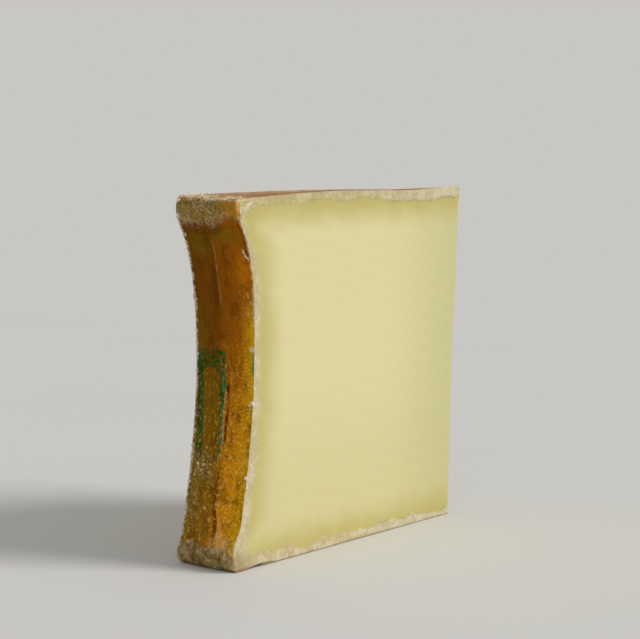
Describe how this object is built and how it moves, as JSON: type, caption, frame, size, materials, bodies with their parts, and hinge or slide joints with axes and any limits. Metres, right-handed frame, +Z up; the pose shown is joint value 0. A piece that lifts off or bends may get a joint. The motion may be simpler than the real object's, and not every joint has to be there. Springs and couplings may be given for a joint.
{
  "type": "beaufort cheese",
  "caption": "Upright slice of a hard mountain cheese wheel: hollow amber heel rind, smooth pale cut faces and thin rind above and below.",
  "frame": {"origin": "on the surface that the slice stands on, under the middle of its bounding box", "axes": "+X from the heel rind to the toe, +Y from the front cut to the back cut, +Z up"},
  "size_m": [0.1542, 0.0298, 0.1414],
  "materials": {
    "paste": "smooth, slightly waxy cut paste",
    "rind": "rubbed, cloth-marked amber rind",
    "bloom": "dry, pale, grainy bloom"
  },
  "bodies": {
    "root": {"cheese": "paste"}
  },
  "joints": []
}
